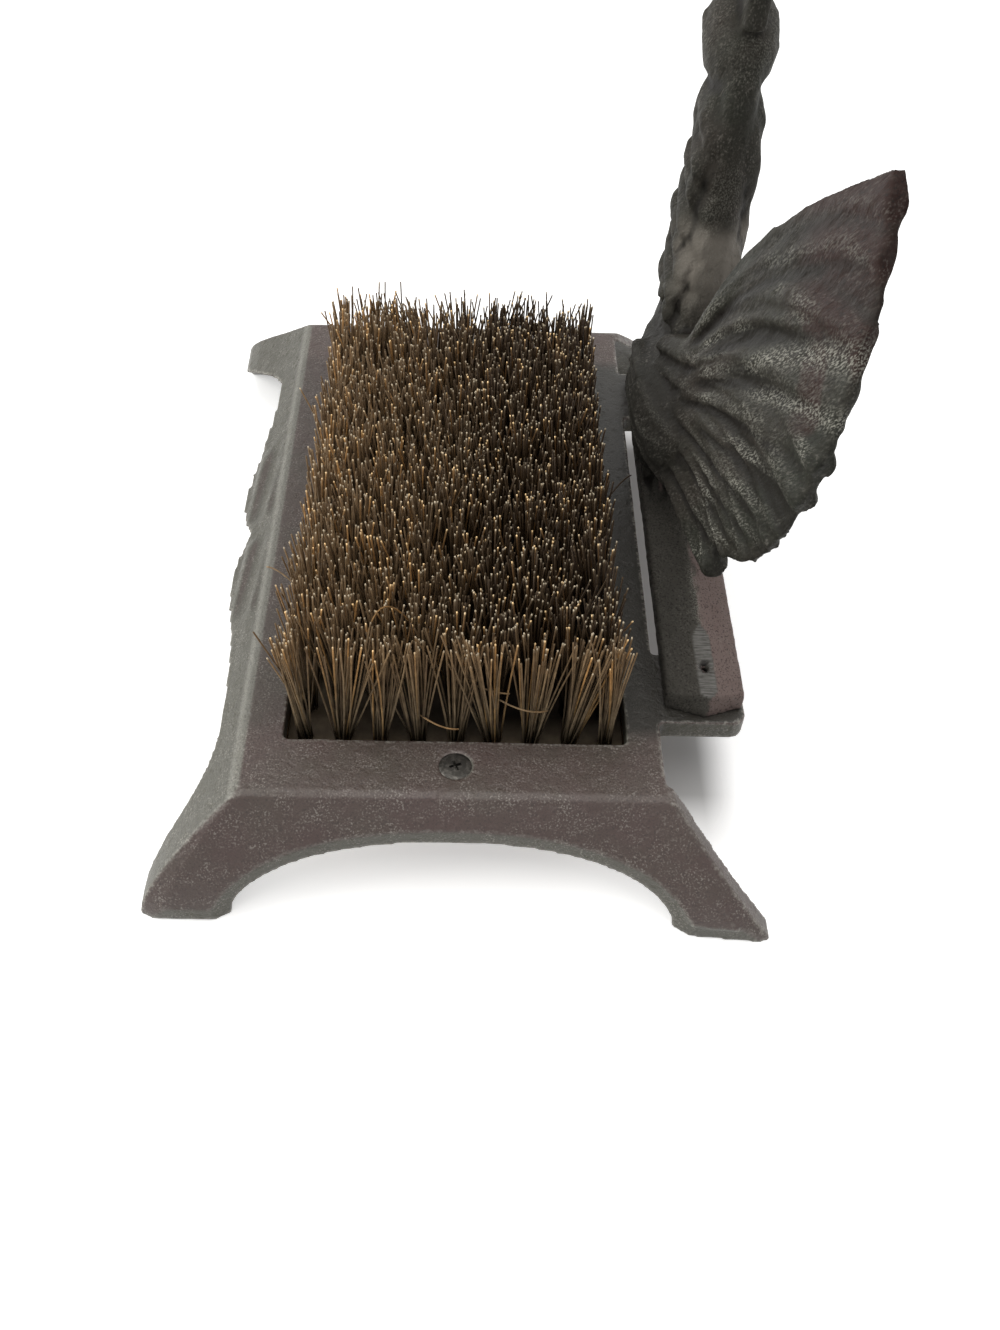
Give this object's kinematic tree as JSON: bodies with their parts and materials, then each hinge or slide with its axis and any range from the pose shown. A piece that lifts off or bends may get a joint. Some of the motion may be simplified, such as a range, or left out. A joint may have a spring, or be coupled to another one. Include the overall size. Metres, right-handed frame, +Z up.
{
  "type": "boot scraper",
  "caption": "Cast-iron boot scraper: a footed stand with a bristle brush set in its top and a cockerel standing on a scraper bar bolted alongside.",
  "frame": {"origin": "on the floor, under the middle of the whole object", "axes": "+Z up, +Y along the stand the way the cockerel faces, +X across the stand towards the scraper bar"},
  "size_m": [0.1794, 0.2744, 0.2217],
  "materials": {
    "stand_iron": "satin brown-black wash over sand-cast grain",
    "figure_iron": "satin black-brown, worn bright on the ridges",
    "board_wood": "plain sawn hardwood",
    "bristle": "stiff plant fibre, red-brown with pale tips",
    "dark_screw": "blackened",
    "steel_screw": "dull zinc"
  },
  "bodies": {
    "root": {"stand": "stand_iron", "cockerel_on_bar": "figure_iron", "brush_board": "board_wood", "bristles_1": "bristle", "bristles_2": "bristle", "bristles_3": "bristle", "bristles_4": "bristle", "brush_screw_front": "dark_screw", "brush_screw_rear": "dark_screw", "bar_screw_front": "steel_screw", "bar_screw_rear": "steel_screw"}
  },
  "joints": []
}
